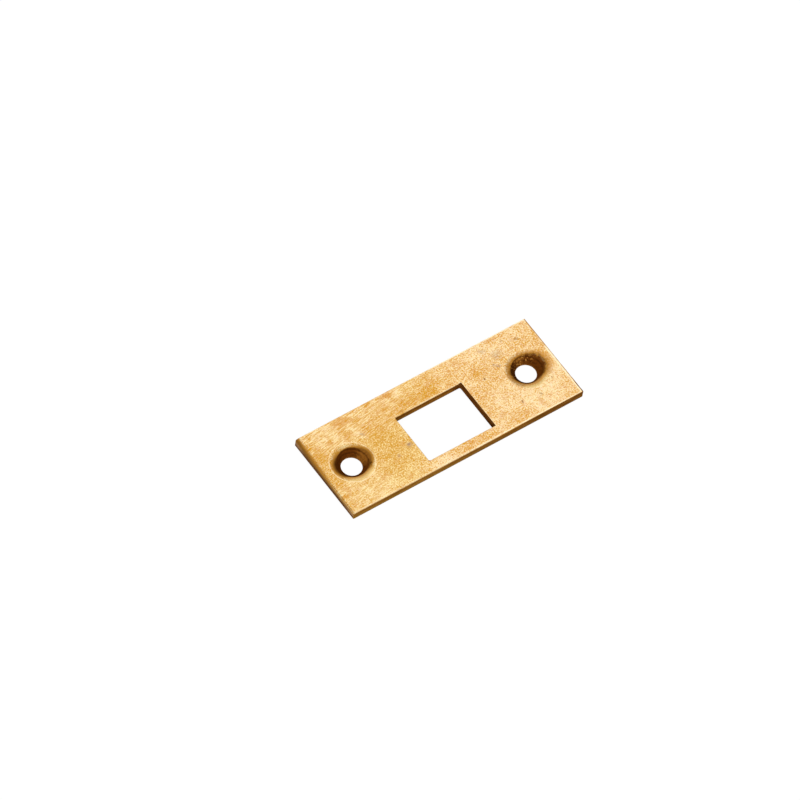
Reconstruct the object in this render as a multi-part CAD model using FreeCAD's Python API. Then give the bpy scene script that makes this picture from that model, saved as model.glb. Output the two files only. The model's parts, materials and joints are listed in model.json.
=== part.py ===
import FreeCAD, Part
import math
import os

# Door strike plate, sheared from flat brass bar: a bolt cut-out nearer to the front long edge and two
# countersunk screw holes on the centre line.
# Frame: origin at the centre of the back face, +X along the length, +Y to the back long edge, +Z out of
# the face that is seen when the plate is screwed to the jamb. All sizes are in millimetres and degrees.

# Plate
PLATE_LENGTH = 60.2
PLATE_WIDTH = 22.0
PLATE_THICKNESS = 1.95

# Worn and sheared edges of the plate: at the left end the face dips before it rounds off into the wall
LEFT_END_RUN = 1.0
LEFT_END_DROP = 0.15
LEFT_END_ROUND = 0.3
RIGHT_END_ROUND = 0.3
ARRIS_ROUND = 0.22

# Bolt cut-out, centred along the length
CUTOUT_LENGTH = 17.3
CUTOUT_WIDTH = 12.75
CUTOUT_FRONT_MARGIN = 2.75
CUTOUT_CORNER_ROUND = 0.35
CUTOUT_ARRIS_ROUND = 0.12

# Screw holes, one at each end on the centre line: a bore, a cone and a shallow dish worn round the cone
HOLE_END_DISTANCE = 7.2
BORE_DIAMETER = 4.7
BORE_LAND = 0.25
COUNTERSINK_ANGLE = 90.0
LIP_DEPTH = 0.4
DISH_DIAMETER = 10.1
DISH_ROUND = 3.2

# How far a cutting tool runs past the face that it cuts, and how closely edges are told apart
TOOL_OVERRUN = 1.0
MATCH = 1e-6


def vector(x, y, z):
    """A point or direction in the plate's frame."""
    return FreeCAD.Vector(x, y, z)


def straight(start, end):
    """A straight edge between two points."""
    return Part.LineSegment(start, end).toShape()


def arc_about(centre, start, end):
    """The shorter arc about a centre, from one point at its distance to another."""
    radius = (start - centre).Length
    halfway = (start - centre) + (end - centre)
    return Part.Arc(start, centre + halfway.normalize() * radius, end).toShape()


def rolled_end(crest):
    """The left end in section, from the crest of its dip on the face to the foot of its round in the wall."""
    dip_radius = (LEFT_END_RUN ** 2 + LEFT_END_DROP ** 2) / (2 * LEFT_END_DROP)
    dip_centre = crest - vector(0, 0, dip_radius)
    back = LEFT_END_RUN - LEFT_END_ROUND
    rise = math.sqrt((dip_radius - LEFT_END_ROUND) ** 2 - back ** 2)
    round_centre = dip_centre + vector(-back, 0, rise)
    outward = (round_centre - dip_centre).normalize()
    meeting = round_centre + outward * LEFT_END_ROUND
    foot = round_centre - vector(LEFT_END_ROUND, 0, 0)
    return [arc_about(dip_centre, crest, meeting), arc_about(round_centre, meeting, foot)], foot


def bar_blank():
    """The sheared bar: its lengthwise section, rolled over at the left end, pulled across the width."""
    half = PLATE_LENGTH / 2
    top = PLATE_THICKNESS
    side = -PLATE_WIDTH / 2
    left_foot = vector(-half, side, 0)
    right_foot = vector(half, side, 0)
    right_shoulder = vector(half, side, top - RIGHT_END_ROUND)
    right_crest = vector(half - RIGHT_END_ROUND, side, top)
    right_centre = vector(half - RIGHT_END_ROUND, side, top - RIGHT_END_ROUND)
    left_crest = vector(-half + LEFT_END_RUN, side, top)
    left_edges, left_shoulder = rolled_end(left_crest)
    section = Part.Wire([
        straight(left_foot, right_foot),
        straight(right_foot, right_shoulder),
        arc_about(right_centre, right_shoulder, right_crest),
        straight(right_crest, left_crest),
        *left_edges,
        straight(left_shoulder, left_foot),
    ])
    return Part.Face(section).extrude(vector(0, PLATE_WIDTH, 0))


def on_long_side(edge):
    """Whether an edge lies in one of the two long side faces and isn't on the back face."""
    box = edge.BoundBox
    in_side = box.YLength < MATCH and abs(abs(box.YMax) - PLATE_WIDTH / 2) < MATCH
    return in_side and box.ZMax > MATCH


def round_arrises(bar):
    """Rounds the long top edges and, in one run with them, the four upright corners."""
    return bar.makeFillet(ARRIS_ROUND, [edge for edge in bar.Edges if on_long_side(edge)])


def cut_bolt_opening(plate):
    """Cuts the bolt's opening through the plate and breaks its top edge."""
    front = -PLATE_WIDTH / 2 + CUTOUT_FRONT_MARGIN
    tool = Part.makeBox(
        CUTOUT_LENGTH, CUTOUT_WIDTH, PLATE_THICKNESS + 2 * TOOL_OVERRUN,
        vector(-CUTOUT_LENGTH / 2, front, -TOOL_OVERRUN))
    upright = [edge for edge in tool.Edges if edge.BoundBox.ZLength > PLATE_THICKNESS]
    pierced = plate.cut(tool.makeFillet(CUTOUT_CORNER_ROUND, upright))

    def on_opening_rim(edge):
        box = edge.BoundBox
        at_face = abs(box.ZMin - PLATE_THICKNESS) < MATCH and box.ZLength < MATCH
        inside = max(abs(box.XMin), abs(box.XMax)) < CUTOUT_LENGTH / 2 + MATCH
        return at_face and inside and box.YMin > front - MATCH and box.YMax < front + CUTOUT_WIDTH + MATCH

    return pierced.makeFillet(CUTOUT_ARRIS_ROUND, [edge for edge in pierced.Edges if on_opening_rim(edge)])


def dish_section(lip, rim):
    """The worn dish in section: an arc from the cone's lip to the rim, bulging out of the metal."""
    chord = rim - lip
    half = chord.Length / 2
    # With a smaller radius the arc would stand above the face before it reaches the rim
    least_radius = half * chord.Length / chord.z
    radius = max(DISH_ROUND, least_radius)
    bulge = radius - math.sqrt(radius ** 2 - half ** 2)
    outward = vector(-chord.z, 0, chord.x).normalize()
    return Part.Arc(lip, lip + chord * 0.5 + outward * bulge, rim).toShape()


def countersink_tool(x):
    """The solid that a screw hole removes: a short bore, a cone and the shallow dish."""
    bore = BORE_DIAMETER / 2
    face = PLATE_THICKNESS
    lip_height = face - LIP_DEPTH
    lip_radius = bore + (lip_height - BORE_LAND) * math.tan(math.radians(COUNTERSINK_ANGLE / 2))
    bottom = vector(0, 0, -TOOL_OVERRUN)
    bore_bottom = vector(bore, 0, -TOOL_OVERRUN)
    bore_top = vector(bore, 0, BORE_LAND)
    lip = vector(lip_radius, 0, lip_height)
    rim = vector(DISH_DIAMETER / 2, 0, face)
    over_rim = vector(DISH_DIAMETER / 2, 0, face + TOOL_OVERRUN)
    top = vector(0, 0, face + TOOL_OVERRUN)
    section = Part.Wire([
        straight(bottom, bore_bottom),
        straight(bore_bottom, bore_top),
        straight(bore_top, lip),
        dish_section(lip, rim),
        straight(rim, over_rim),
        straight(over_rim, top),
        straight(top, bottom),
    ])
    tool = Part.Face(section).revolve(vector(0, 0, 0), vector(0, 0, 1), 360)
    tool.translate(vector(x, 0, 0))
    return tool


def drill_screw_holes(plate):
    """Cuts the two countersunk screw holes."""
    reach = PLATE_LENGTH / 2 - HOLE_END_DISTANCE
    for x in (-reach, reach):
        plate = plate.cut(countersink_tool(x))
    return plate


def strike_plate():
    """The finished plate, one solid."""
    plate = drill_screw_holes(cut_bolt_opening(round_arrises(bar_blank())))
    return plate.Solids[0]


os.makedirs("parts", exist_ok=True)
plate = strike_plate()
plate.exportStep("parts/strike_plate.step")
box = plate.optimalBoundingBox()
print("strike_plate valid", plate.isValid(), "volume mm3", round(plate.Volume, 2))
print("size mm", round(box.XLength, 3), round(box.YLength, 3), round(box.ZLength, 3))
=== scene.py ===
"""A worn brass door strike plate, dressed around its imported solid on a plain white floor."""
import json
import logging
import math
import random
from dataclasses import dataclass
from enum import Enum
from typing import Any, Union

import bpy
from mathutils import Matrix, Vector, noise
from mathutils.geometry import delaunay_2d_cdt


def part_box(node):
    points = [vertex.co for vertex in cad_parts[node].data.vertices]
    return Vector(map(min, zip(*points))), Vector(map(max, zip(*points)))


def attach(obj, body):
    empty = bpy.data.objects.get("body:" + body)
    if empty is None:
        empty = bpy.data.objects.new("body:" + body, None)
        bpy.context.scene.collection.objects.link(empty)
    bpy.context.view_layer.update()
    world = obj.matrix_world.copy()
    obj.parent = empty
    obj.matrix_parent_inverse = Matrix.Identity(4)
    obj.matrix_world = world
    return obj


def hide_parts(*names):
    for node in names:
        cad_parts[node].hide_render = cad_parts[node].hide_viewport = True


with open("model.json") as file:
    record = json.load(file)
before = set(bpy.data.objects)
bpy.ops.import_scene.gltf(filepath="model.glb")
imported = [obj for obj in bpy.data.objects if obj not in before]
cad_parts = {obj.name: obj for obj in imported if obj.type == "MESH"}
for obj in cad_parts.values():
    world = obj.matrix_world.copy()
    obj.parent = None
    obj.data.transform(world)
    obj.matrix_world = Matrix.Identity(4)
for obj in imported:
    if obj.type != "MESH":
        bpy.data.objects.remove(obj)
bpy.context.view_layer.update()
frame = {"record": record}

MM = 0.001
QUARTER = math.pi / 2
WHITE = (1.0, 1.0, 1.0, 1.0)
NODE = "strike_plate"
BODY = "root"
PIECE = "worn_strike_plate"

# Least radius of a moved outline's corners, in millimetres
SHARP_CORNER = 0.04
# Edges that turn by more than this are drawn sharp
SHARP_EDGE = math.radians(35)
# How far a ring's sides are bowed, as a share of their distance from its middle
BOW = 0.004
# What the triangulation gives back, and how near two points are joined
INSIDE_ONLY = 1
JOIN_REACH = 1e-7
# Settings and sockets that all steps and noises share
SMOOTH = {"interpolation_type": "SMOOTHSTEP"}
SEED_SHIFT = (1.0, 1.7, 2.3)
NOISE_ROUGHNESS = 0.55
# Distances from a screw hole's axis: where its dish has run out, its lip and the top of its bore
DISH_END = (5.2, 5.4)
LIP_LINE = (3.54, 3.70)
BORE_TOP = (2.36, 2.5)

Socket = bpy.types.NodeSocket
log = logging.getLogger("strike_plate")


class Tint(Enum):
    """The colours of the plate's finish, as display values from 0 to 255."""

    AMBER = (213, 149, 24)
    STRAW = (254, 231, 168)
    CREAM = (254, 231, 182)
    BLUSH = (251, 224, 186)
    # Painted light on the front of each screw hole's dish
    GLOW = (255, 192, 104)
    # Painted light in a band round the front of each dish's rim
    NEAR_RIM_LIGHT = (255, 222, 146)
    # Worn brass, also laid on as a painted highlight along the rounded edges
    WORN_AND_HIGHLIGHT = (255, 236, 194)
    GOLD = (210, 152, 46)
    DISH = (200, 138, 52)
    RUST = (207, 134, 40)
    SLATE = (174, 140, 112)
    OLIVE = (154, 102, 46)
    TAN = (196, 138, 62)
    # Tarnish, also used as a painted glint of floor light at the top of each bore
    TARNISH_AND_GLINT = (150, 102, 38)
    # Soot and dirt, also used as painted shade in the countersinks
    SOOT_AND_SHADE = (60, 29, 6)
    CONE = (106, 55, 12)
    CONE_LIT = (152, 95, 32)
    WALL_TOP = (136, 86, 26)
    # Wall oxide with painted floor light, lighter than the wall's upper edge
    WALL_FOOT_FLOOR_LIT = (146, 104, 38)
    WALL_SHADE = (116, 70, 24)
    END_FRONT = (188, 148, 86)
    END_BACK = (138, 95, 38)
    END_FOOT = (108, 71, 40)
    SHEEN = (180, 142, 106)
    OPENING_TOP = (124, 72, 14)
    # Opening wall oxide with painted floor light, lighter than its upper edge
    OPENING_FOOT_FLOOR_LIT = (140, 92, 30)
    OPENING_SHADE = (98, 54, 16)
    BACK = (186, 140, 80)

    @property
    def linear(self) -> tuple[float, float, float, float]:
        """The colour in linear light, with full cover."""
        return (*(to_linear(part / 255) for part in self.value), 1.0)


Colour = Union[Tint, Socket]


def to_linear(shown: float) -> float:
    """Turns one display value into linear light.

    Args:
        shown: a display value from 0 to 1.

    Returns:
        The linear value from 0 to 1.
    """
    if shown <= 0.04045:
        return shown / 12.92
    return ((shown + 0.055) / 1.055) ** 2.4


class Field:
    """A number that varies over the surface. Arithmetic on it adds Math nodes."""

    def __init__(self, graph: "ShaderGraph", socket: Socket) -> None:
        """Keeps the graph and the socket that gives the number."""
        self.graph = graph
        self.socket = socket

    def __add__(self, other: "Number") -> "Field":
        """This number plus another."""
        return self.graph.math("ADD", self, other)

    def __sub__(self, other: "Number") -> "Field":
        """This number less another."""
        return self.graph.math("SUBTRACT", self, other)

    def __rsub__(self, other: float) -> "Field":
        """A plain number less this one."""
        return self.graph.math("SUBTRACT", other, self)

    def __mul__(self, other: "Number") -> "Field":
        """This number times another."""
        return self.graph.math("MULTIPLY", self, other)

    __radd__ = __add__
    __rmul__ = __mul__

    def __abs__(self) -> "Field":
        """This number without its sign."""
        return self.graph.math("ABSOLUTE", self, 0.0)

    def least(self, other: "Number") -> "Field":
        """The smaller of this number and another."""
        return self.graph.math("MINIMUM", self, other)

    def most(self, other: "Number") -> "Field":
        """The larger of this number and another."""
        return self.graph.math("MAXIMUM", self, other)

    def rise(self, start: float, end: float) -> "Field":
        """A smooth step from 0 at start to 1 at end."""
        sockets = {"Value": self, "From Min": start, "From Max": end}
        return self.graph.field("ShaderNodeMapRange", SMOOTH, sockets, "Result")

    def fall(self, start: float, end: float) -> "Field":
        """A smooth step from 1 at start to 0 at end."""
        return 1.0 - self.rise(start, end)

    def band(self, start: float, end: float, soft: float) -> "Field":
        """1 between start and end, with a soft step of that width outside each of them."""
        return self.rise(start - soft, start) * self.fall(end, end + soft)


Number = Union[Field, float]


class ShaderGraph:
    """Adds nodes to one node tree and links them."""

    def __init__(self, tree: bpy.types.NodeTree) -> None:
        """Empties the tree and keeps it."""
        tree.nodes.clear()
        self.tree = tree

    def node(self, kind: str, settings: dict[str, Any], sockets: dict[Any, Any]) -> bpy.types.Node:
        """Adds one node.

        Args:
            kind: the node's type.
            settings: its settings by name, which are set first.
            sockets: values or links of its input sockets, by name or place.

        Returns:
            The new node.
        """
        made = self.tree.nodes.new(kind)
        for name, value in settings.items():
            setattr(made, name, value)
        for key, value in sockets.items():
            self.feed(made.inputs[key], value)
        return made

    def feed(self, socket: Socket, value: Any) -> None:
        """Links a field or socket to an input, or sets a plain value on it.

        Args:
            socket: the input socket.
            value: what it gets.
        """
        source = value.socket if isinstance(value, Field) else value
        if isinstance(source, Socket):
            self.tree.links.new(source, socket)
        else:
            socket.default_value = source

    def field(self, kind: str, settings: dict[str, Any], sockets: dict[Any, Any], output: Any) -> Field:
        """The number that one output of a new node gives."""
        return Field(self, self.node(kind, settings, sockets).outputs[output])

    def math(self, operation: str, first: Number, second: Number) -> Field:
        """The result of one Math node on two numbers."""
        return self.field("ShaderNodeMath", {"operation": operation}, {0: first, 1: second}, 0)

    def vector(self, operation: str, first: Any, second: Any) -> Socket:
        """The vector that one Vector Math node makes of two vectors."""
        made = self.node("ShaderNodeVectorMath", {"operation": operation}, {0: first, 1: second})
        return made.outputs["Vector"]

    def length(self, vector: Socket) -> Field:
        """The length of a vector."""
        return self.field("ShaderNodeVectorMath", {"operation": "LENGTH"}, {0: vector}, "Value")

    def mix(self, share: Number, under: Colour, over: Colour) -> Socket:
        """One colour laid over another, where share says how much of the upper one shows."""
        low, high = (part.linear if isinstance(part, Tint) else part for part in (under, over))
        return self.node("ShaderNodeMix", {"data_type": "RGBA"}, {0: share, 6: low, 7: high}).outputs[2]

    def noise(self, point: Socket, per_mm: float, detail: float, seed: float) -> Field:
        """Cloudy noise between 0 and 1, around a half.

        Args:
            point: where it is read, in millimetres.
            per_mm: how many clouds there are in a millimetre.
            detail: how many finer layers are added.
            seed: a shift that makes it a noise of its own.

        Returns:
            The noise.
        """
        moved = self.vector("ADD", point, tuple(part * seed for part in SEED_SHIFT))
        sockets = {"Vector": moved, "Scale": per_mm, "Detail": detail, "Roughness": NOISE_ROUGHNESS}
        return self.field("ShaderNodeTexNoise", {}, sockets, "Fac")


def add_to_scene(name: str, data: bpy.types.ID) -> bpy.types.Object:
    """Makes an object and puts it in the scene.

    Args:
        name: the object's name.
        data: its mesh, lamp or camera.

    Returns:
        The object.
    """
    made = bpy.data.objects.new(name, data)
    bpy.context.scene.collection.objects.link(made)
    return made


@dataclass(frozen=True)
class Oval:
    """A soft oval on the face, in millimetres."""

    x: float
    y: float
    half_length: float
    half_width: float


@dataclass(frozen=True)
class Zone(Oval):
    """A broad part of the face that is paler than the rest, or deeper where paler is below 0."""

    paler: float


@dataclass(frozen=True)
class Stain(Oval):
    """A small mark on the face."""

    tint: Tint
    strength: float


@dataclass(frozen=True)
class RimWear:
    """How oxide lies in and round one screw hole: lengths in millimetres, strengths from 0 to 1.

    A shifted, stretched oval of oxide goes from dark to clear with a ragged edge. In the cone lie a painted
    lit spot and painted shade on its left side. A ring that is partly a painted highlight, or a halo, flecks
    and a painted crescent of light at the front lie round it.
    """

    shift_x: float
    shift_y: float
    stretch: float
    dark: float
    clear: float
    ragged: float
    lit_x: float
    lit_y: float
    lit_size: float
    cone_shade: float
    ring: float
    halo: float
    flecks: float
    bright_from: float
    bright_lean: float


@dataclass(frozen=True)
class Outline:
    """A rectangle in the plate's plan, in millimetres, with its corners' radii from the front left on."""

    low: Vector
    high: Vector
    corners: tuple[float, float, float, float]

    def grown(self, left: float, right: float, sides: float) -> "Outline":
        """Moves the outline outwards.

        Args:
            left: how far the left end moves.
            right: how far the right end moves.
            sides: how far the two long sides move.

        Returns:
            The moved outline.
        """
        low = Vector((self.low.x - left, self.low.y - sides))
        high = Vector((self.high.x + right, self.high.y + sides))
        ends = (left, right, right, left)
        radii = [max(radius + min(end, sides), SHARP_CORNER) for radius, end in zip(self.corners, ends)]
        return Outline(low, high, tuple(radii))

    def distance(self, x: float, y: float) -> float:
        """Measures how far a point lies outside the outline.

        Args:
            x: the point's place along the length.
            y: the point's place across the width.

        Returns:
            The distance, below 0 inside.
        """
        middle = (self.low + self.high) / 2
        half = (self.high - self.low) / 2
        front = y < middle.y
        if x < middle.x:
            radius = self.corners[0] if front else self.corners[3]
        else:
            radius = self.corners[1] if front else self.corners[2]
        over_x = abs(x - middle.x) - half.x + radius
        over_y = abs(y - middle.y) - half.y + radius
        outside = math.hypot(max(over_x, 0.0), max(over_y, 0.0))
        return outside + min(max(over_x, over_y), 0.0) - radius

    def points(self, along_x: int, along_y: int, corner_steps: int) -> list[Vector]:
        """Points all the way round, anticlockwise from the start of the front left corner.

        Args:
            along_x: how many steps each long side has.
            along_y: how many steps each end has.
            corner_steps: how many steps each corner has.

        Returns:
            The points in order.
        """
        low, high = self.low, self.high
        front = [(low.x, low.y, 1, 1), (high.x, low.y, -1, 1)]
        turns = front + [(high.x, high.y, -1, -1), (low.x, high.y, 1, -1)]
        arcs = []
        for turn, ((x, y, inward_x, inward_y), radius) in enumerate(zip(turns, self.corners)):
            centre = Vector((x + inward_x * radius, y + inward_y * radius))
            start = math.pi + turn * QUARTER
            angles = [start + step * QUARTER / corner_steps for step in range(corner_steps + 1)]
            arcs.append([centre + radius * Vector((math.cos(a), math.sin(a))) for a in angles])
        path = []
        for turn, arc in enumerate(arcs):
            path.extend(arc)
            steps = along_y if turn % 2 else along_x
            end = arcs[(turn + 1) % len(arcs)][0]
            path.extend(arc[-1].lerp(end, step / steps) for step in range(1, steps))
        return path


@dataclass(frozen=True)
class Edge:
    """An edge of the plate, from the flat of the face over its round and wall to the back.

    The insets say how far the flat stays clear of the left end, the right end and the long sides. The
    counts are a ring's steps along X, along Y and in each corner. The side is 1 where the plate lies
    outside the outline and -1 where it lies inside.
    """

    outline: Outline
    insets: tuple[float, float, float]
    counts: tuple[int, int, int]
    round_steps: int
    side: float


def bowed(path: list[Vector]) -> list[Vector]:
    """Bows the straight sides of a ring outwards by a hair, so that no three of its points lie in line.

    Args:
        path: the ring's points in the plan.

    Returns:
        The moved points.
    """
    low = Vector((min(p.x for p in path), min(p.y for p in path)))
    high = Vector((max(p.x for p in path), max(p.y for p in path)))
    middle, half = (low + high) / 2, (high - low) / 2
    moved = []
    for point in path:
        out = point - middle
        bow = Vector((1.0 - (out.y / half.y) ** 2, 1.0 - (out.x / half.x) ** 2)) * BOW
        moved.append(point + out * bow)
    return moved


def round_drop(inset: float, radius: float) -> float:
    """Measures how far a quarter round lies below the face.

    Args:
        inset: distance from the wall that the round runs into.
        radius: the round's radius.

    Returns:
        The drop, 0 beyond the round.
    """
    if inset >= radius:
        return 0.0
    run = radius - max(inset, 0.0)
    return radius - math.sqrt(radius**2 - run**2)


class MeshDraft:
    """Collects the vertices and faces of one closed mesh."""

    def __init__(self) -> None:
        """Starts with nothing."""
        self.vertices: list[Vector] = []
        self.faces: list[tuple[int, ...]] = []

    def ring(self, points: list[Vector]) -> list[int]:
        """Adds points.

        Args:
            points: the points in order.

        Returns:
            Their numbers.
        """
        first = len(self.vertices)
        self.vertices.extend(points)
        return list(range(first, first + len(points)))

    def bridge(self, rings: list[list[int]]) -> None:
        """Joins each ring to the next with four-sided faces.

        Args:
            rings: rings with as many points each.
        """
        for near, far in zip(rings, rings[1:]):
            for place in range(len(near)):
                after = (place + 1) % len(near)
                self.faces.append((near[place], near[after], far[after], far[place]))

    def fill(self, outer: list[int], inner: list[list[int]], loose: list[int]) -> None:
        """Fills the flat area between an outer ring and the rings inside it with triangles.

        Args:
            outer: the ring round the area.
            inner: rings round what is left open.
            loose: points that lie free in the area.
        """
        order: list[int] = []
        flat: list[Vector] = []
        owner: list[int | None] = []
        edges: list[tuple[int, int]] = []
        for place, ring in enumerate((outer, *inner)):
            first, size = len(order), len(ring)
            edges.extend((first + step, first + (step + 1) % size) for step in range(size))
            order.extend(ring)
            flat.extend(bowed([self.vertices[number].to_2d() for number in ring]))
            owner.extend([place] * size)
        order.extend(loose)
        flat.extend(self.vertices[number].to_2d() for number in loose)
        owner.extend([None] * len(loose))
        found = delaunay_2d_cdt(flat, edges, [], INSIDE_ONLY, JOIN_REACH, True)
        triangles, originals = found[2:4]
        for triangle in triangles:
            corners = [originals[number][0] for number in triangle]
            owners = {owner[corner] for corner in corners}
            if len(owners) == 1 and owners.isdisjoint({None, 0}):
                continue
            self.faces.append(tuple(order[corner] for corner in corners))

    def mesh(self, name: str) -> bpy.types.Mesh:
        """Makes the mesh, in metres.

        Args:
            name: the mesh's name.

        Returns:
            The mesh, smooth but for its sharp edges.
        """
        made = bpy.data.meshes.new(name)
        made.from_pydata([vertex * MM for vertex in self.vertices], [], self.faces)
        made.update()
        made.shade_smooth()
        made.set_sharp_from_angle(angle=SHARP_EDGE)
        return made


@dataclass(frozen=True)
class ScrewHole:
    """A screw hole in millimetres: a bore, a 90-degree cone and the shallow dish worn round it."""

    x: float
    face: float
    bore_radius: float
    land: float
    lip_depth: float
    rim_radius: float
    dish_round: float

    @property
    def lip_radius(self) -> float:
        """Where the dish breaks off into the cone."""
        return self.bore_radius + self.face - self.land - self.lip_depth

    @property
    def dish_centre(self) -> Vector:
        """Middle of the dish's arc.

        Returns:
            Its distance from the hole's axis and its height over the face.
        """
        lip = Vector((self.lip_radius, -self.lip_depth))
        chord = Vector((self.rim_radius, 0.0)) - lip
        outward = Vector((-chord.y, chord.x)).normalized()
        reach = math.sqrt(self.dish_round**2 - (chord.length / 2) ** 2)
        return lip + chord / 2 - outward * reach

    def drop(self, radius: float) -> float:
        """Measures how far the surface lies below the face.

        Args:
            radius: distance from the hole's axis.

        Returns:
            The drop, 0 outside the dish.
        """
        if radius >= self.rim_radius:
            return 0.0
        if radius < self.lip_radius:
            return self.lip_depth + self.lip_radius - radius
        centre = self.dish_centre
        return max(-centre.y - math.sqrt(self.dish_round**2 - (radius - centre.x) ** 2), 0.0)

    def radii(self, dish_steps: int, cone_steps: int) -> list[float]:
        """Distances from the axis of the rings that carry the dish and the cone, outermost first.

        Args:
            dish_steps: how many steps the dish has.
            cone_steps: how many steps the cone has.

        Returns:
            The distances.
        """
        lip = self.lip_radius
        dish_run = lip - self.rim_radius
        cone_run = self.bore_radius - lip
        dish = [self.rim_radius + dish_run * step / dish_steps for step in range(dish_steps + 1)]
        return dish + [lip + cone_run * step / cone_steps for step in range(1, cone_steps + 1)]


@dataclass
class StrikePlate:
    """The flat plate with its bolt opening and two screw holes, in millimetres.

    The fields from grid on say how fine the mesh is and how its points are spread.
    """

    length: float
    width: float
    thickness: float
    hole_spacing: float
    bore_radius: float
    corner_rounds: tuple[float, float, float, float] = (0.20, 0.20, 0.18, 0.26)
    left_run_front: float = 0.50
    left_run_back: float = 1.45
    left_drop_back: float = 0.30
    left_drop_power: float = 1.6
    left_round: float = 0.26
    right_round_front: float = 0.18
    right_round_back: float = 0.14
    end_clearance: float = 1.05
    front_arris: float = 0.20
    back_arris: float = 0.10
    arris_wear: float = 0.30
    arris_noise: tuple[float, float, float] = (0.9, 0.9, 4.0)
    cutout_length: float = 17.3
    cutout_width: float = 12.75
    cutout_front_margin: float = 2.75
    cutout_corner: float = 0.35
    cutout_arris: float = 0.13
    bore_land: float = 0.25
    lip_depth: float = 0.40
    dish_radius: float = 5.05
    dish_round: float = 3.2
    back_break: float = 0.02
    waviness: float = 0.010
    wave_noise: tuple[float, float, float] = (0.16, 0.22, 9.0)
    blend_power: int = 4
    grid: float = 0.34
    back_coarser: float = 4.0
    spread: float = 0.2
    clearance: float = 0.6
    seed: int = 11
    rim_steps: tuple[int, int] = (18, 8)
    cutout_steps: tuple[int, int] = (6, 5)
    wall_rows: int = 5
    hole_turns: int = 120
    dish_steps: int = 12
    cone_steps: int = 8

    @classmethod
    def from_frame(cls) -> "StrikePlate":
        """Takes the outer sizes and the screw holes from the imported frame.

        Returns:
            The plate.
        """
        low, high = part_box(NODE)
        size = (high - low) / MM
        mounts = frame["record"]["mounts"]
        screws = next(mount for mount in mounts if mount["name"] == "screw_holes")
        spacing = screws["dims"]["spacing_x_mm"]
        return cls(size.x, size.y, size.z, spacing, screws["dims"]["hole_r_mm"])

    def __post_init__(self) -> None:
        """Works out the edges, the holes and where the flat of the face begins."""
        half = Vector((self.length / 2, self.width / 2))
        self.outline = Outline(-half, half, self.corner_rounds)
        front = self.cutout_front_margin - half.y
        low = Vector((-self.cutout_length / 2, front))
        high = Vector((self.cutout_length / 2, front + self.cutout_width))
        self.cutout = Outline(low, high, (self.cutout_corner,) * 4)
        self.holes = [
            ScrewHole(side * self.hole_spacing / 2, self.thickness, self.bore_radius, self.bore_land,
                      self.lip_depth, self.dish_radius, self.dish_round)
            for side in (-1, 1)
        ]
        most_wear = 1.0 + self.arris_wear
        self.left_inset = self.end_clearance * max(self.left_run_front, self.left_run_back)
        self.right_inset = self.end_clearance * max(self.right_round_front, self.right_round_back)
        self.side_inset = most_wear * max(self.front_arris, self.back_arris)
        self.cutout_inset = most_wear * self.cutout_arris
        insets = (self.left_inset, self.right_inset, self.side_inset)
        steps, corner = self.rim_steps
        self.rim = Edge(self.outline, insets, self.counts(self.length, self.width, corner), steps, -1.0)
        insets = (self.cutout_inset,) * 3
        steps, corner = self.cutout_steps
        counts = self.counts(self.cutout_length, self.cutout_width, corner)
        self.opening = Edge(self.cutout, insets, counts, steps, 1.0)

    def counts(self, length: float, width: float, corner: int) -> tuple[int, int, int]:
        """How many steps a ring has along X, along Y and in each corner."""
        return round(length / self.grid), round(width / self.grid), corner

    def across(self, y: float) -> float:
        """How far a place lies from the front edge to the back edge, from 0 to 1."""
        return min(max(y / self.width + 0.5, 0.0), 1.0)

    def left_dip(self, inset: float, y: float) -> float:
        """Measures the dip of the face before the left end, which grows towards the back.

        Args:
            inset: distance from the left end's wall.
            y: the place across the width.

        Returns:
            How far the face lies lower.
        """
        share = self.across(y)
        run = self.left_run_front + (self.left_run_back - self.left_run_front) * share
        return self.left_drop_back * share**self.left_drop_power * max(1.0 - inset / run, 0.0) ** 2

    def right_round(self, y: float) -> float:
        """The break of the right end, which narrows towards the back."""
        return self.right_round_front + (self.right_round_back - self.right_round_front) * self.across(y)

    def arris(self, x: float, y: float, size: float) -> float:
        """The uneven wear of an edge: its round at one place."""
        pitch_x, pitch_y, layer = self.arris_noise
        return size * (1.0 + self.arris_wear * noise.noise(Vector((pitch_x * x, pitch_y * y, layer))))

    def height(self, x: float, y: float) -> float:
        """Measures how high the upper side lies over the back.

        Args:
            x: the place along the length.
            y: the place across the width.

        Returns:
            The height.
        """
        side = self.front_arris if y < 0 else self.back_arris
        from_left = x + self.length / 2
        drops = [
            round_drop(-self.outline.distance(x, y), self.arris(x, y, side)),
            round_drop(from_left, self.left_round) + self.left_dip(from_left, y),
            round_drop(self.length / 2 - x, self.right_round(y)),
            round_drop(self.cutout.distance(x, y), self.arris(x, y, self.cutout_arris)),
        ]
        for hole in self.holes:
            drops.append(hole.drop(math.hypot(x - hole.x, y)))
        worn = sum(drop**self.blend_power for drop in drops) ** (1 / self.blend_power)
        pitch_x, pitch_y, layer = self.wave_noise
        wave = 0.5 + 0.5 * noise.noise(Vector((pitch_x * x, pitch_y * y, layer)))
        return self.thickness - max(worn, self.waviness * wave)

    def on_top(self, points: list[Vector]) -> list[Vector]:
        """Lifts points of the plan to the upper side."""
        return [Vector((p.x, p.y, self.height(p.x, p.y))) for p in points]

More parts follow.
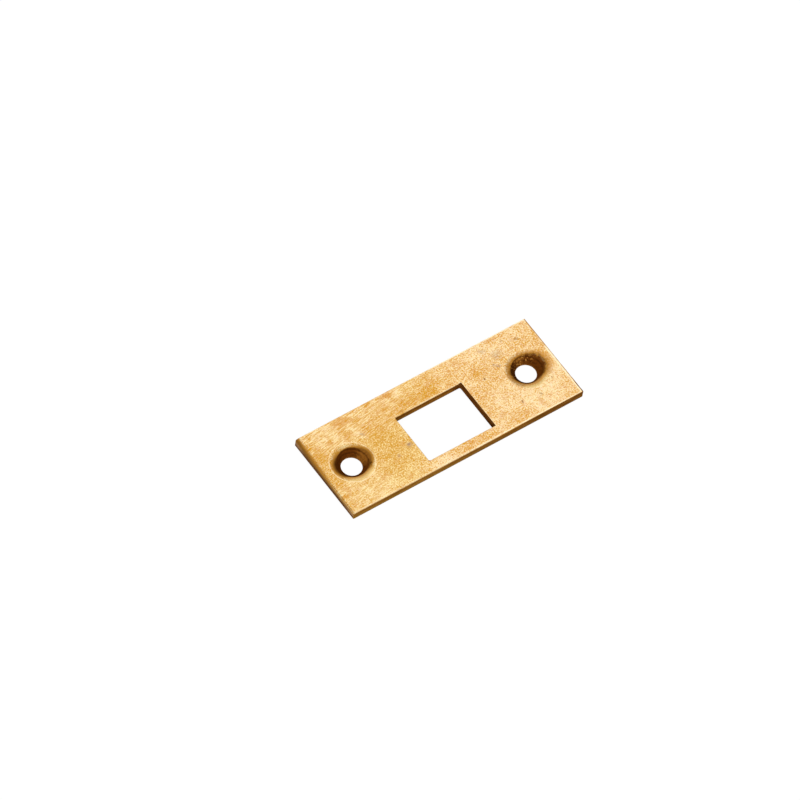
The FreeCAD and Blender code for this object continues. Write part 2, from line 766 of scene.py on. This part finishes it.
    def edge_rings(self, draft: MeshDraft, edge: Edge) -> tuple[list[int], list[int]]:
        """Builds an edge from the face over its round and down its wall to the back.

        Args:
            draft: the mesh that gets the edge.
            edge: the edge.

        Returns:
            The ring on the face and the ring on the back.
        """
        rings = []
        for step in range(edge.round_steps + 1):
            share = edge.side * (1.0 - math.sin(step / edge.round_steps * QUARTER))
            shape = edge.outline.grown(*(share * inset for inset in edge.insets))
            rings.append(draft.ring(self.on_top(shape.points(*edge.counts))))
        path = edge.outline.points(*edge.counts)
        starts = [draft.vertices[number].z for number in rings[-1]]
        for row in range(1, self.wall_rows + 1):
            share = row / self.wall_rows
            levels = [start + share * (self.back_break - start) for start in starts]
            points = [place.to_3d() + Vector((0, 0, level)) for place, level in zip(path, levels)]
            rings.append(draft.ring(points))
        out = edge.side * self.back_break
        foot = edge.outline.grown(out, out, out).points(*edge.counts)
        rings.append(draft.ring([place.to_3d() for place in foot]))
        draft.bridge(rings if edge.side > 0 else [ring[::-1] for ring in rings])
        return rings[0], rings[-1]

    def hole_rings(self, draft: MeshDraft, hole: ScrewHole) -> tuple[list[int], list[int]]:
        """Builds a screw hole from the face over its dish, down its cone and through the bore.

        Args:
            draft: the mesh that gets the hole.
            hole: the hole.

        Returns:
            The ring on the face and the ring on the back.
        """
        turns = [step * math.tau / self.hole_turns for step in range(self.hole_turns)]
        rings = []
        for radius in hole.radii(self.dish_steps, self.cone_steps):
            circle = [Vector((hole.x + radius * math.cos(t), radius * math.sin(t))) for t in turns]
            rings.append(draft.ring(self.on_top(circle)))
        for level in (hole.land / 2, 0.0):
            rings.append(draft.ring([
                Vector((hole.x + hole.bore_radius * math.cos(t), hole.bore_radius * math.sin(t), level))
                for t in turns
            ]))
        draft.bridge(rings)
        return rings[0], rings[-1]

    def face_points(self, level: bool) -> list[Vector]:
        """Points spread unevenly over the face or the back, clear of its edges.

        Args:
            level: whether they are for the level back, which needs fewer.

        Returns:
            The points in the plan.
        """
        dice = random.Random(self.seed)
        points = []
        step = self.grid * (self.back_coarser if level else 1.0)
        row_step = step * math.sqrt(0.75)
        for row in range(int(self.width / row_step)):
            for column in range(int(self.length / step)):
                shift = 0.5 * (row % 2)
                x = (column + shift + dice.uniform(-self.spread, self.spread)) * step - self.length / 2
                y = (row + dice.uniform(-self.spread, self.spread)) * row_step - self.width / 2
                if self.is_face(x, y, self.clearance * step):
                    points.append(Vector((x, y)))
        return points

    def is_face(self, x: float, y: float, margin: float) -> bool:
        """Tells whether a place of the plan lies on the flat face.

        Args:
            x: the place along the length.
            y: the place across the width.
            margin: how clear of every edge it has to be.

        Returns:
            True on the flat.
        """
        low = self.outline.low
        high = self.outline.high
        left = x - low.x - self.left_inset
        right = high.x - x - self.right_inset
        sides = min(y - low.y, high.y - y) - self.side_inset
        opening = self.cutout.distance(x, y) - self.cutout_inset
        rims = min(math.hypot(x - hole.x, y) - hole.rim_radius for hole in self.holes)
        return min(left, right, sides, opening, rims) > margin

    def build(self) -> bpy.types.Object:
        """Builds the plate's mesh and puts it in the scene.

        Returns:
            The plate.
        """
        draft = MeshDraft()
        outer = self.edge_rings(draft, self.rim)
        inner = [self.edge_rings(draft, self.opening)]
        inner.extend(self.hole_rings(draft, hole) for hole in self.holes)
        loose = draft.ring(self.on_top(self.face_points(level=False)))
        draft.fill(outer[0], [rings[0] for rings in inner], loose)
        first_back = len(draft.faces)
        loose = draft.ring([place.to_3d() for place in self.face_points(level=True)])
        draft.fill(outer[1], [rings[1] for rings in inner], loose)
        draft.faces[first_back:] = [face[::-1] for face in draft.faces[first_back:]]
        return add_to_scene(PIECE, draft.mesh(PIECE))

    def dress(self, plate: bpy.types.Object, finish: "AgedBrass") -> None:
        """Gives the plate its finish and ties it to the frame.

        Args:
            plate: the plate.
            finish: its finish.
        """
        plate.data.materials.append(finish.material())
        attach(plate, BODY)
        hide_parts(NODE)


class Place:
    """Where a point of the plate's surface lies, in millimetres, and the nodes that colour it."""

    def __init__(self, graph: ShaderGraph, plate: StrikePlate) -> None:
        """Reads the object's own coordinates.

        Args:
            graph: the nodes to add to.
            plate: the plate that the coordinates belong to.
        """
        self.graph = graph
        metres = graph.node("ShaderNodeTexCoord", {}, {}).outputs["Object"]
        self.point = graph.vector("MULTIPLY", metres, (1 / MM, 1 / MM, 1 / MM))
        parts = graph.node("ShaderNodeSeparateXYZ", {}, {0: self.point}).outputs
        self.x, self.y, self.z = (Field(graph, part) for part in parts)
        self.depth = plate.thickness - self.z
        self.plan = graph.vector("MULTIPLY", self.point, (1.0, 1.0, 0.0))
        cloud = {"Vector": self.point, "Scale": 1.1, "Detail": 2.0}
        wander = graph.node("ShaderNodeTexNoise", {}, cloud).outputs["Color"]
        centred = graph.vector("SUBTRACT", wander, (0.5, 0.5, 0.5))
        self.loose_plan = graph.vector("ADD", self.plan, graph.vector("MULTIPLY", centred, (1.6, 1.6, 0.0)))
        self.across = self.y * (1 / plate.width) + 0.5
        self.from_front = self.y + plate.width / 2
        self.from_back = plate.width / 2 - self.y
        self.from_left = self.x + plate.length / 2
        self.from_right = plate.length / 2 - self.x
        self.left_end = self.x.fall(-29.4, -28.4) * self.from_front.rise(0.05, 0.30)
        self.from_holes = [self.from_middle(hole.x, 0.0, 1.0) for hole in plate.holes]
        self.from_hole = self.from_holes[0].least(self.from_holes[1])
        self.in_hole = self.from_hole.fall(*DISH_END)
        middle = (plate.cutout.low + plate.cutout.high) / 2
        half = (plate.cutout.high - plate.cutout.low) / 2
        self.from_opening = (abs(self.x - middle.x) - half.x).most(abs(self.y - middle.y) - half.y)

    def noise(self, per_mm: float, detail: float, seed: float) -> Field:
        """Cloudy noise over the surface."""
        return self.graph.noise(self.point, per_mm, detail, seed)

    def mix(self, share: Number, under: Colour, over: Colour) -> Socket:
        """One colour laid over another."""
        return self.graph.mix(share, under, over)

    def oval(self, shape: Oval) -> Field:
        """Draws a soft oval with an uneven edge.

        Args:
            shape: its place and size.

        Returns:
            1 in the middle and 0 outside.
        """
        shifted = self.graph.vector("SUBTRACT", self.loose_plan, (shape.x, shape.y, 0.0))
        scaled = self.graph.vector("DIVIDE", shifted, (shape.half_length, shape.half_width, 1.0))
        return self.graph.length(scaled).fall(0.25, 1.25)

    def from_middle(self, x: float, y: float, stretch: float) -> Field:
        """Distance from a place of the plan, with Y stretched."""
        shifted = self.graph.vector("SUBTRACT", self.plan, (x, y, 0.0))
        return self.graph.length(self.graph.vector("MULTIPLY", shifted, (1.0, stretch, 0.0)))


@dataclass(frozen=True)
class AgedBrass:
    """Old brass: a rubbed, speckled face, worn edges with a painted highlight and brown oxide where nothing
    rubs it.
    """

    plate: StrikePlate
    roughness: float = 0.40
    dull_roughness: float = 0.20
    grain_roughness: float = 0.10
    bump_strength: float = 0.35
    bump_depth: float = 0.03
    brush_angle: float = -9.0
    brush_pitch: tuple[float, float, float] = (0.45, 3.6, 1.0)
    drawn_pitch: tuple[float, float, float] = (0.3, 0.3, 3.0)
    zones: tuple[Zone, ...] = (
        Zone(-13.5, -1.0, 6.5, 9.0, -0.28),
        Zone(-3.5, 6.3, 11.0, 2.8, -0.26),
        Zone(24.0, -5.0, 13.0, 9.0, 0.28),
        Zone(21.0, 9.0, 12.0, 3.5, 0.22),
        Zone(-22.0, -9.0, 8.0, 2.6, 0.16),
        Zone(-23.0, 8.0, 6.0, 3.2, 0.16),
        # Painted shade: the face darker just before the left end
        Zone(-28.6, 2.0, 2.4, 8.0, -0.34),
        Zone(28.2, 0.5, 1.6, 3.6, -0.16),
        Zone(6.0, -9.8, 3.0, 1.2, -0.20),
        Zone(-5.0, -9.8, 4.0, 1.2, 0.32),
    )
    stains: tuple[Stain, ...] = (
        Stain(-9.8, -2.7, 0.9, 0.7, Tint.SLATE, 0.75),
        Stain(-13.4, -3.8, 0.6, 0.5, Tint.SLATE, 0.45),
        Stain(-16.9, 4.7, 0.6, 0.5, Tint.SLATE, 0.45),
        Stain(-6.6, 5.1, 0.4, 0.3, Tint.SLATE, 0.5),
        Stain(19.5, 6.4, 1.6, 1.4, Tint.SLATE, 0.35),
        Stain(17.0, 8.8, 0.9, 0.6, Tint.SLATE, 0.45),
        Stain(18.3, 3.9, 0.6, 0.5, Tint.SLATE, 0.7),
        Stain(17.3, 4.6, 0.5, 0.5, Tint.SLATE, 0.5),
        Stain(-19.5, 9.6, 2.6, 1.3, Tint.RUST, 0.5),
        Stain(-7.0, 10.2, 2.2, 0.9, Tint.RUST, 0.6),
        Stain(10.3, 9.2, 1.2, 0.8, Tint.RUST, 0.4),
        Stain(-27.7, -5.2, 1.0, 1.0, Tint.RUST, 0.4),
        Stain(13.5, 2.5, 0.45, 0.45, Tint.OLIVE, 0.8),
        Stain(21.8, -6.6, 0.4, 0.5, Tint.OLIVE, 0.8),
        Stain(17.2, -6.3, 0.35, 0.35, Tint.OLIVE, 0.7),
        Stain(26.3, -4.5, 0.4, 0.4, Tint.OLIVE, 0.7),
        Stain(25.7, 7.8, 0.6, 0.4, Tint.OLIVE, 0.5),
        Stain(22.3, 9.0, 0.5, 0.35, Tint.OLIVE, 0.45),
        Stain(-19.6, -2.1, 0.35, 0.35, Tint.SOOT_AND_SHADE, 0.8),
    )
    rims: tuple[RimWear, RimWear] = (
        RimWear(shift_x=0.09, shift_y=0.07, stretch=1.27, dark=3.45, clear=5.45, ragged=0.25,
                lit_x=3.3, lit_y=0.3, lit_size=2.6, cone_shade=0.45, ring=0.5, halo=0.0, flecks=0.0,
                bright_from=3.5, bright_lean=0.1),
        RimWear(shift_x=0.46, shift_y=0.32, stretch=1.26, dark=3.40, clear=5.30, ragged=1.70,
                lit_x=-0.1, lit_y=3.6, lit_size=1.8, cone_shade=0.75, ring=0.0, halo=0.8, flecks=0.85,
                bright_from=3.05, bright_lean=-0.05),
    )

    def material(self) -> bpy.types.Material:
        """Builds the finish.

        Returns:
            The material.
        """
        made = bpy.data.materials.new("aged_brass_finish")
        made.use_nodes = True
        graph = ShaderGraph(made.node_tree)
        at = Place(graph, self.plate)
        grain = at.noise(3.2, 1.0, 5.0)
        cover = self.oxide_cover(at)
        colour = self.face(at, grain)
        colour = self.worn_edge_highlights(at, colour)
        colour = self.rim_glow(at, colour)
        colour = at.mix(cover.rise(0.0, 0.4), colour, Tint.DISH)
        colour = at.mix(cover.rise(0.3, 0.7), colour, Tint.TARNISH_AND_GLINT)
        colour = at.mix(cover.rise(0.5, 1.0), colour, self.oxide_colour(at))
        colour = self.rim_light_and_flecks(at, colour)
        colour = self.marks(at, colour)
        back = at.z.fall(0.01, 0.04)
        colour = at.mix(back, colour, self.back(at))
        dull = cover.rise(0.0, 0.45).most(back * 0.5).most(at.from_hole.fall(4.2, 4.8) * 0.7)
        height = {"Height": grain, "Strength": self.bump_strength, "Distance": self.bump_depth * MM}
        bump = graph.node("ShaderNodeBump", {}, height)
        shader = graph.node("ShaderNodeBsdfPrincipled", {}, {
            "Base Color": colour,
            "Metallic": 1.0 - dull,
            "Roughness": self.roughness + self.dull_roughness * dull + self.grain_roughness * (grain - 0.5),
            "Specular IOR Level": 0.0,
            "Normal": bump.outputs["Normal"],
        })
        graph.node("ShaderNodeOutputMaterial", {}, {"Surface": shader.outputs["BSDF"]})
        return made

    def face(self, at: Place, grain: Field) -> Socket:
        """The speckled, brushed colour of the face.

        Args:
            at: where the surface lies.
            grain: the fine speckle.

        Returns:
            The colour.
        """
        mottle = at.noise(0.45, 3.0, 20.0)
        cloud = at.noise(0.13, 2.0, 40.0)
        brushing = {"Vector": at.point, "Angle": math.radians(self.brush_angle)}
        turned = at.graph.node("ShaderNodeVectorRotate", {"rotation_type": "Z_AXIS"}, brushing)
        drawn_out = at.graph.vector("MULTIPLY", turned.outputs["Vector"], self.brush_pitch)
        streaks = at.graph.noise(drawn_out, 1.0, 1.0, 60.0)
        brushed = (at.y.rise(1.0, 6.0) * at.x.fall(-8.0, 8.0)).most(at.x.fall(-22.0, -15.0) * 0.7)
        flecks = at.noise(1.5, 1.0, 30.0)
        pale = 0.38 + (3.8 - 1.6 * brushed) * (grain - 0.5) + (1.1 - 0.5 * brushed) * (flecks - 0.5)
        pale = pale + (mottle - 0.5) + 0.7 * (cloud - 0.5) + 2.4 * brushed * (streaks - 0.5)
        for zone in self.zones:
            pale = pale + at.oval(zone) * zone.paler
        before_opening = at.y.fall(-8.5, -6.5) * at.x.rise(-14.0, -5.0)
        reddish = at.x.rise(-12.0, 14.0).most(brushed * 0.6).most(before_opening)
        blush = at.noise(1.3, 3.0, 70.0).rise(0.42, 0.70) * (0.2 + 0.5 * reddish)
        deep = at.mix(blush, at.mix(reddish, Tint.GOLD, Tint.AMBER), Tint.RUST)
        light = at.mix(blush, at.mix(reddish, Tint.STRAW, Tint.CREAM), Tint.BLUSH)
        return at.mix(pale.rise(-0.5, 1.35), deep, light)

    def worn_edge_highlights(self, at: Place, colour: Colour) -> Socket:
        """Brightens the rubbed edges of the plate and of the bolt opening: real wear, with a painted
        highlight along their rounds.

        Args:
            at: where the surface lies.
            colour: the face's colour.

        Returns:
            The colour with bright edges.
        """
        front = at.from_front.fall(0.30, 0.55) * (0.45 + 0.55 * at.x.rise(-10.0, 12.0))
        rear = at.from_back.fall(0.15, 0.35) * at.x.rise(-5.0, 10.0)
        right = at.from_right.fall(0.45, 0.75) * at.y.fall(2.0, 7.0)
        back_rim = at.y.rise(3.6, 4.6) * at.x.rise(-7.5, -4.0)
        right_rim = at.x.rise(7.6, 8.6) * 0.5
        opening = at.from_opening.fall(0.18, 0.36) * (back_rim * 0.6).most(right_rim)
        wear = at.noise(0.8, 2.0, 100.0).rise(0.15, 0.55)
        near = front.most(rear).most(right).most(opening) * at.depth.fall(0.05, 0.25)
        # Painted highlight along the rounded edges, over real wear
        return at.mix(near * wear, colour, Tint.WORN_AND_HIGHLIGHT)

    def rim_glow(self, at: Place, colour: Colour) -> Socket:
        """Lays a bright ring round a screw hole's dish, worn and partly a painted highlight on its edge, or
        a tan halo.

        Args:
            at: where the surface lies.
            colour: the face's colour.

        Returns:
            The colour round the holes.
        """
        uneven = at.noise(1.6, 2.0, 110.0) - 0.5
        for hole, out, wear in zip(self.plate.holes, at.from_holes, self.rims):
            if wear.ring:
                # Painted highlight on the dish's worn outer edge
                ring = out.band(4.96, 5.06, 0.12) * (wear.ring * (1.0 + 1.6 * uneven))
                colour = at.mix(ring, colour, Tint.WORN_AND_HIGHLIGHT)
            if wear.halo:
                far = at.from_middle(hole.x + 0.7, 0.0, 1.2) + 1.6 * uneven
                colour = at.mix(far.fall(4.4, 6.0) * wear.halo, colour, Tint.TAN)
        return colour

    def oxide_cover(self, at: Place) -> Field:
        """How much brown oxide covers the metal: the walls, the roll-over and the screw holes, with painted
        shade over the dip before the left end.

        Args:
            at: where the surface lies.

        Returns:
            The cover, from 0 to 1.
        """
        ragged = at.noise(1.3, 3.0, 120.0) - 0.5
        depth = at.depth + 0.10 * ragged
        wall = depth.rise(0.02, 0.26) * (1.0 - at.left_end) * (1.0 - at.in_hole)
        cover = wall.most((depth - 0.1 * (1.0 - at.across)).rise(0.05, 0.55) * at.left_end)
        # Painted shade over the face's dip before the left end, deeper towards the back, with some tarnish
        droop_shade = (at.from_left - 0.7 * at.across + 0.4 * ragged).fall(-0.6, 0.5)
        cover = cover.most(droop_shade * (0.08 + 0.75 * at.across))
        thin_line = (at.from_right + 0.15 * ragged).fall(0.12, 0.36)
        at_front = 0.2 * at.y.fall(-6.0, -2.0) + 0.8 * at.y.fall(-9.0, -7.0)
        cover = cover.most(thin_line * (0.24 + at_front + 0.2 * at.y.rise(1.0, 7.0)))
        front_line = at.from_front.fall(0.0, 0.20) * at.x.rise(0.0, 18.0)
        cover = cover.most(front_line * 0.9)
        at_sides = 0.85 * at.x.rise(7.6, 8.5) + 0.2 * at.x.fall(-8.6, -8.2)
        cover = cover.most(at.from_opening.fall(0.02, 0.15) * (0.15 + at_sides))
        for hole, radius, wear in zip(self.plate.holes, at.from_holes, self.rims):
            lean = 0.69 * (at.x - hole.x) + 0.72 * at.y
            cover = cover.most((depth + 0.08 * lean).rise(0.45, 0.65) * radius.fall(*DISH_END))
            cover = cover.most(radius.fall(3.7, 4.15) * 0.2)
            out = at.from_middle(hole.x + wear.shift_x, wear.shift_y, wear.stretch)
            cover = cover.most((out + wear.ragged * ragged).fall(wear.dark, wear.clear))
        return cover

    def oxide_colour(self, at: Place) -> Socket:
        """The browns of the oxide, from the upper edge of a wall to its foot and in the holes, with painted
        light at the walls' feet and painted shade towards the right.

        Args:
            at: where the surface lies.

        Returns:
            The colour.
        """
        # Painted light: the walls lighter towards their feet, where light from the floor reaches them
        low = at.depth.rise(0.4, 1.5)
        wall = at.mix(low, Tint.WALL_TOP, Tint.WALL_FOOT_FLOOR_LIT)
        # Painted shade: the outer walls darker towards the right end
        wall = at.mix(at.x.rise(-15.0, 30.0) * 0.8, wall, Tint.WALL_SHADE)
        end = at.mix(at.across.rise(0.0, 0.9), Tint.END_FRONT, Tint.END_BACK)
        end = at.mix(at.depth.rise(0.4, 1.3), end, Tint.END_FOOT)
        burnished = at.depth.band(0.7, 1.2, 0.4) * abs(at.y).rise(6.5, 10.5)
        end = at.mix(burnished * 0.6, end, Tint.SHEEN)
        wall = at.mix(at.left_end, wall, end)
        opening = at.mix(low, Tint.OPENING_TOP, Tint.OPENING_FOOT_FLOOR_LIT)
        # Painted shade: the opening's walls darker towards its right wall
        opening = at.mix(at.x.rise(5.5, 8.0), opening, Tint.OPENING_SHADE)
        wall = at.mix(at.from_opening.fall(0.4, 0.8), wall, opening)
        drawn = at.graph.noise(at.graph.vector("MULTIPLY", at.point, self.drawn_pitch), 1.0, 2.0, 180.0)
        wall = at.mix(drawn.rise(0.5, 0.72) * 0.4, wall, Tint.SOOT_AND_SHADE)
        wall = at.mix(drawn.fall(0.30, 0.48) * 0.25, wall, Tint.TAN)
        return at.mix(at.in_hole, wall, self.cone(at))

    def cone(self, at: Place) -> Socket:
        """The countersinks: brown, with painted light on one side, painted shade on the left and at the lip,
        and a painted glint of floor light at the bore.

        Args:
            at: where the surface lies.

        Returns:
            The colour.
        """
        colour: Colour = Tint.CONE
        cloud = at.noise(0.9, 3.0, 140.0)
        crust = at.noise(2.2, 3.0, 150.0)
        for hole, radius, wear in zip(self.plate.holes, at.from_holes, self.rims):
            # Painted light: a lit patch on one side of the cone
            lit = at.from_middle(hole.x + wear.lit_x, wear.lit_y, 1.0) + 1.4 * (crust - 0.5)
            colour = at.mix(lit.fall(0.4, wear.lit_size), colour, Tint.CONE_LIT)
            # Painted shade: the cone darker on its left side
            side = at.x - hole.x + 0.8 * (cloud - 0.5)
            colour = at.mix(side.fall(-2.2, 0.6) * radius.fall(*DISH_END) * wear.cone_shade, colour, Tint.SOOT_AND_SHADE)
        # Painted shade: a dark line along the lip
        colour = at.mix(at.from_hole.band(*LIP_LINE, 0.12) * 0.5, colour, Tint.SOOT_AND_SHADE)
        # A darker ragged ring in the upper part of the cone
        dark_ring = (at.from_hole + 0.9 * (cloud - 0.5)).band(2.92, 3.04, 0.14) * at.y.rise(0.0, 1.5)
        colour = at.mix(dark_ring * 0.5, colour, Tint.SOOT_AND_SHADE)
        # Painted reflection: floor light caught at the top of the bore
        colour = at.mix(at.from_hole.fall(*BORE_TOP) * 0.5, colour, Tint.TARNISH_AND_GLINT)
        return at.mix(crust.rise(0.46, 0.64) * 0.4, colour, Tint.SOOT_AND_SHADE)

    def rim_light_and_flecks(self, at: Place, colour: Colour) -> Socket:
        """Paints light on the front of each dish, with pale flecks on a rough rim and golden ones inside it.

        Args:
            at: where the surface lies.
            colour: the colour with the oxide.

        Returns:
            The flecked colour.
        """
        specks = at.noise(2.8, 2.0, 170.0)
        for hole, out, wear in zip(self.plate.holes, at.from_holes, self.rims):
            # Painted light: a bright crescent on the front of the dish
            toward_front = at.y + wear.bright_lean * (at.x - hole.x)
            crescent = out.band(wear.bright_from, 4.4, 0.35) * toward_front.fall(-3.5, -2.4)
            colour = at.mix(crescent * (0.2 + 0.9 * specks), colour, Tint.GLOW)
            # Painted light: a bright band round the front of the rim
            outer = out.band(4.2, 4.6, 0.35) * at.y.fall(-4.0, -2.9)
            colour = at.mix(outer * (0.2 + specks), colour, Tint.NEAR_RIM_LIGHT)
            if wear.flecks:
                near_side = at.oval(Oval(hole.x + 2.2, -4.1, 2.4, 1.6))
                far_side = at.oval(Oval(hole.x - 1.8, 4.3, 2.4, 1.2)) * 0.6
                rim = specks.rise(0.50, 0.58) * out.band(4.4, 5.4, 0.5) * (0.1 + near_side + far_side)
                inside = specks.rise(0.55, 0.66) * out.fall(3.7, 4.3) * at.y.rise(1.0, 2.5)
                colour = at.mix(rim * wear.flecks, colour, Tint.CREAM)
                colour = at.mix(inside * wear.flecks, colour, Tint.TAN)
        return colour

    def marks(self, at: Place, colour: Colour) -> Socket:
        """Lays reddish patches and small stains over the face.

        Args:
            at: where the surface lies.
            colour: the face's colour.

        Returns:
            The marked colour.
        """
        level = at.depth.fall(0.03, 0.12)
        patches = at.noise(0.42, 3.0, 80.0)
        colour = at.mix(patches.rise(0.56, 0.72) * level * 0.4, colour, Tint.RUST)
        speckle = at.noise(2.2, 1.0, 190.0).rise(0.35, 0.60)
        above_walls = at.depth.fall(0.3, 0.5) * (0.5 + 0.8 * speckle)
        for stain in self.stains:
            colour = at.mix(at.oval(stain) * above_walls * stain.strength, colour, stain.tint)
        return colour

    def back(self, at: Place) -> Socket:
        """The duller colour of the unrubbed back."""
        return at.mix(at.noise(0.35, 4.0, 160.0).rise(0.3, 0.7), Tint.OLIVE, Tint.BACK)


@dataclass(frozen=True)
class PhotoCamera:
    """The camera of the photograph: lengths in millimetres, angles in degrees, clipping in metres."""

    aim: tuple[float, float, float] = (-5.11, 7.70, 1.95)
    azimuth: float = 43.57
    look_down: float = 55.80
    roll: float = 10.26
    distance: float = 1707.2
    focal_pixels: float = 8000.0
    image_pixels: float = 800.0
    sensor: float = 36.0
    clip_start: float = 0.1
    clip_end: float = 20.0

    def build(self) -> bpy.types.Object:
        """Makes the camera and gives it to the scene.

        Returns:
            The camera.
        """
        turn = math.radians(self.azimuth)
        down = math.radians(self.look_down)
        forward = Vector((math.sin(turn) * math.cos(down), math.cos(turn) * math.cos(down), -math.sin(down)))
        level = Vector((math.cos(turn), -math.sin(turn), 0.0))
        upright = level.cross(forward)
        lean = math.radians(self.roll)
        right = math.cos(lean) * level + math.sin(lean) * upright
        up = math.cos(lean) * upright - math.sin(lean) * level
        data = bpy.data.cameras.new("photo_camera")
        data.sensor_width = self.sensor
        data.lens = self.focal_pixels / self.image_pixels * self.sensor
        data.clip_start = self.clip_start
        data.clip_end = self.clip_end
        camera = add_to_scene("photo_camera", data)
        pose = Matrix((right, up, -forward)).transposed().to_4x4()
        pose.translation = (Vector(self.aim) - forward * self.distance) * MM
        camera.matrix_world = pose
        bpy.context.scene.camera = camera
        return camera


@dataclass(frozen=True)
class Studio:
    """A white floor under a long soft light and an even sky, in metres."""

    floor_size: float = 6.0
    floor_gap: float = 0.00002
    floor_white: float = 0.90
    floor_glow: float = 1.05
    light_low: tuple[float, float] = (0.08, -0.7)
    light_high: tuple[float, float] = (1.14, 2.7)
    light_height: float = 1.2
    light_level: float = 0.94
    fill_place: tuple[float, float, float] = (-1.03, -1.09, 0.80)
    fill_size: tuple[float, float] = (2.6, 1.3)
    fill_level: float = 1.5
    sky_level: float = 0.42

    def floor(self) -> bpy.types.Object:
        """Makes the floor, which shows white and keeps a soft shadow.

        Returns:
            The floor.
        """
        half = self.floor_size / 2
        mesh = bpy.data.meshes.new("floor")
        corners = [(-half, -half, 0), (half, -half, 0), (half, half, 0), (-half, half, 0)]
        mesh.from_pydata(corners, [], [(0, 1, 2, 3)])
        made = bpy.data.materials.new("floor_white")
        made.use_nodes = True
        graph = ShaderGraph(made.node_tree)
        ray = graph.node("ShaderNodeLightPath", {}, {}).outputs
        seen = Field(graph, ray["Is Camera Ray"]).most(Field(graph, ray["Is Glossy Ray"]))
        seen = seen.most(Field(graph, ray["Is Transmission Ray"]))
        paper = graph.node("ShaderNodeBsdfDiffuse", {}, {"Color": WHITE})
        glow = graph.node("ShaderNodeEmission", {}, {"Strength": self.floor_glow})
        both = graph.node("ShaderNodeMixShader", {}, {
            0: seen * self.floor_white,
            1: paper.outputs["BSDF"],
            2: glow.outputs["Emission"],
        })
        graph.node("ShaderNodeOutputMaterial", {}, {"Surface": both.outputs["Shader"]})
        mesh.materials.append(made)
        floor = add_to_scene("floor", mesh)
        floor.location.z = -self.floor_gap
        return floor

    def light(self) -> bpy.types.Object:
        """Makes the long soft light over the plate.

        Returns:
            The light.
        """
        low, high = Vector(self.light_low), Vector(self.light_high)
        lamp = self.lamp("soft_light", high - low, self.light_level)
        lamp.location = ((low + high) / 2).to_3d() + Vector((0, 0, self.light_height))
        return lamp

    def fill(self) -> bpy.types.Object:
        """Makes the low light from the front left, which opens up the walls and the countersinks.

        Returns:
            The light.
        """
        place = Vector(self.fill_place)
        lamp = self.lamp("fill_light", Vector(self.fill_size), self.fill_level)
        lamp.matrix_world = place.to_track_quat("Z", "Y").to_matrix().to_4x4()
        lamp.location = place
        return lamp

    def lamp(self, name: str, size: Vector, level: float) -> bpy.types.Object:
        """Makes a soft rectangular lamp that shines down.

        Args:
            name: the lamp's name.
            size: its length and width.
            level: how bright its surface is, where 1 is white.

        Returns:
            The lamp, at the origin.
        """
        data = bpy.data.lights.new(name, "AREA")
        data.shape = "RECTANGLE"
        data.size = size.x
        data.size_y = size.y
        data.energy = level * math.pi * size.x * size.y
        made = add_to_scene(name, data)
        made.visible_camera = False
        return made

    def sky(self) -> bpy.types.World:
        """Makes the even light from all round.

        Returns:
            The world that gives it.
        """
        world = bpy.data.worlds.new("even_sky")
        world.use_nodes = True
        graph = ShaderGraph(world.node_tree)
        shine = graph.node("ShaderNodeBackground", {}, {"Color": WHITE, "Strength": self.sky_level})
        graph.node("ShaderNodeOutputWorld", {}, {"Surface": shine.outputs["Background"]})
        bpy.context.scene.world = world
        return world


def main() -> None:
    """Builds the plate, its floor, its light and its camera."""
    logging.basicConfig(level=logging.INFO, format="%(name)s: %(message)s")
    bpy.context.scene.view_settings.view_transform = "Standard"
    plate = StrikePlate.from_frame()
    piece = plate.build()
    plate.dress(piece, AgedBrass(plate))
    log.info("%s: %d faces", piece.name, len(piece.data.polygons))
    studio = Studio()
    log.info("%s laid", studio.floor().name)
    log.info("%s hung", studio.light().name)
    log.info("%s hung", studio.fill().name)
    log.info("%s spread", studio.sky().name)
    log.info("%s set", PhotoCamera().build().name)


if __name__ == "__main__":
    main()
